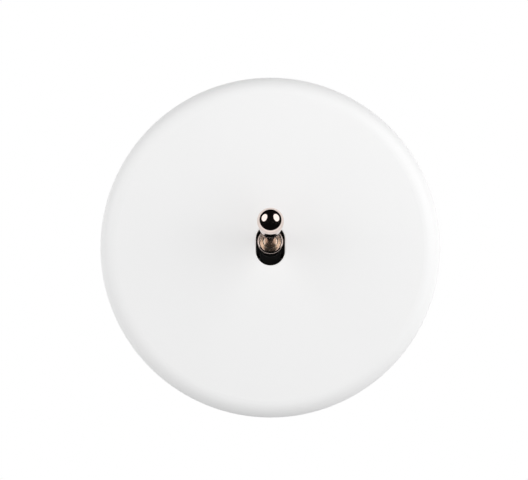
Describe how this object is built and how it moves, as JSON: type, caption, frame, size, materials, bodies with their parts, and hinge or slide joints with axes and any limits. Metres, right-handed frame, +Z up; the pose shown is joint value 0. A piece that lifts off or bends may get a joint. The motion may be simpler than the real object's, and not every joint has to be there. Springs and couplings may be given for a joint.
{
  "type": "lever pushbutton switch",
  "caption": "Round white porcelain wall plate with a sprung, ball-ended nickel lever, pressed down to close a contact in the housing behind it.",
  "frame": {"origin": "centre of the round plate on the wall surface, which is also the middle of the box screw slots", "axes": "+X right, +Z up, +Y into the wall; the plate's face and the lever look along -Y"},
  "size_m": [0.1, 0.0551, 0.1],
  "materials": {
    "porcelain": "white gloss glaze",
    "nickel": "polished warm nickel plating on brass",
    "black_nylon": "black moulded nylon",
    "black_thermoset": "black moulded thermoset",
    "grey_thermoset": "light grey moulded thermoset",
    "black_acetal": "black acetal, smooth",
    "zinc_steel": "bright zinc plating on steel",
    "pin_steel": "ground steel",
    "spring_steel": "drawn spring steel wire",
    "brass": "plain machined brass",
    "copper_alloy": "copper alloy strip",
    "contact_silver": "dull silver alloy"
  },
  "bodies": {
    "fixed": {"cover_plate": "porcelain", "clip_ring": "black_nylon", "support_frame": "zinc_steel", "housing_cover": "black_thermoset", "housing_base": "grey_thermoset", "pivot_pin": "pin_steel", "return_spring": "spring_steel", "fixed_tips": "contact_silver", "fixed_contact_right": "brass", "fixed_contact_left": "brass", "terminal_right": "brass", "terminal_left": "brass", "terminal_screw_right": "zinc_steel", "terminal_screw_left": "zinc_steel", "frame_screws": "zinc_steel"},
    "lever": {"lever": "nickel", "lever_insert": "brass", "cradle": "black_nylon"},
    "slider": {"plunger": "black_acetal", "contact_bridge": "copper_alloy", "contact_spring": "spring_steel", "bridge_tips": "contact_silver"}
  },
  "joints": [
    {"name": "lever_tilt", "type": "hinge", "parent": "fixed", "child": "lever", "pos_m": [0, -0.0021, 0], "axis": [1, 0, 0], "range_deg": [0, 25], "stiffness_Nm_per_rad": 0.1, "springref_deg": -22.92},
    {"name": "plunger_slide", "type": "slide", "parent": "fixed", "child": "slider", "axis": [0, 1, 0], "range_m": [0, 0.00296], "deforming": ["return_spring"]}
  ],
  "couplings": [
    {"joint": "plunger_slide", "follows": "lever_tilt", "m_per_rad": 0.00678}
  ]
}
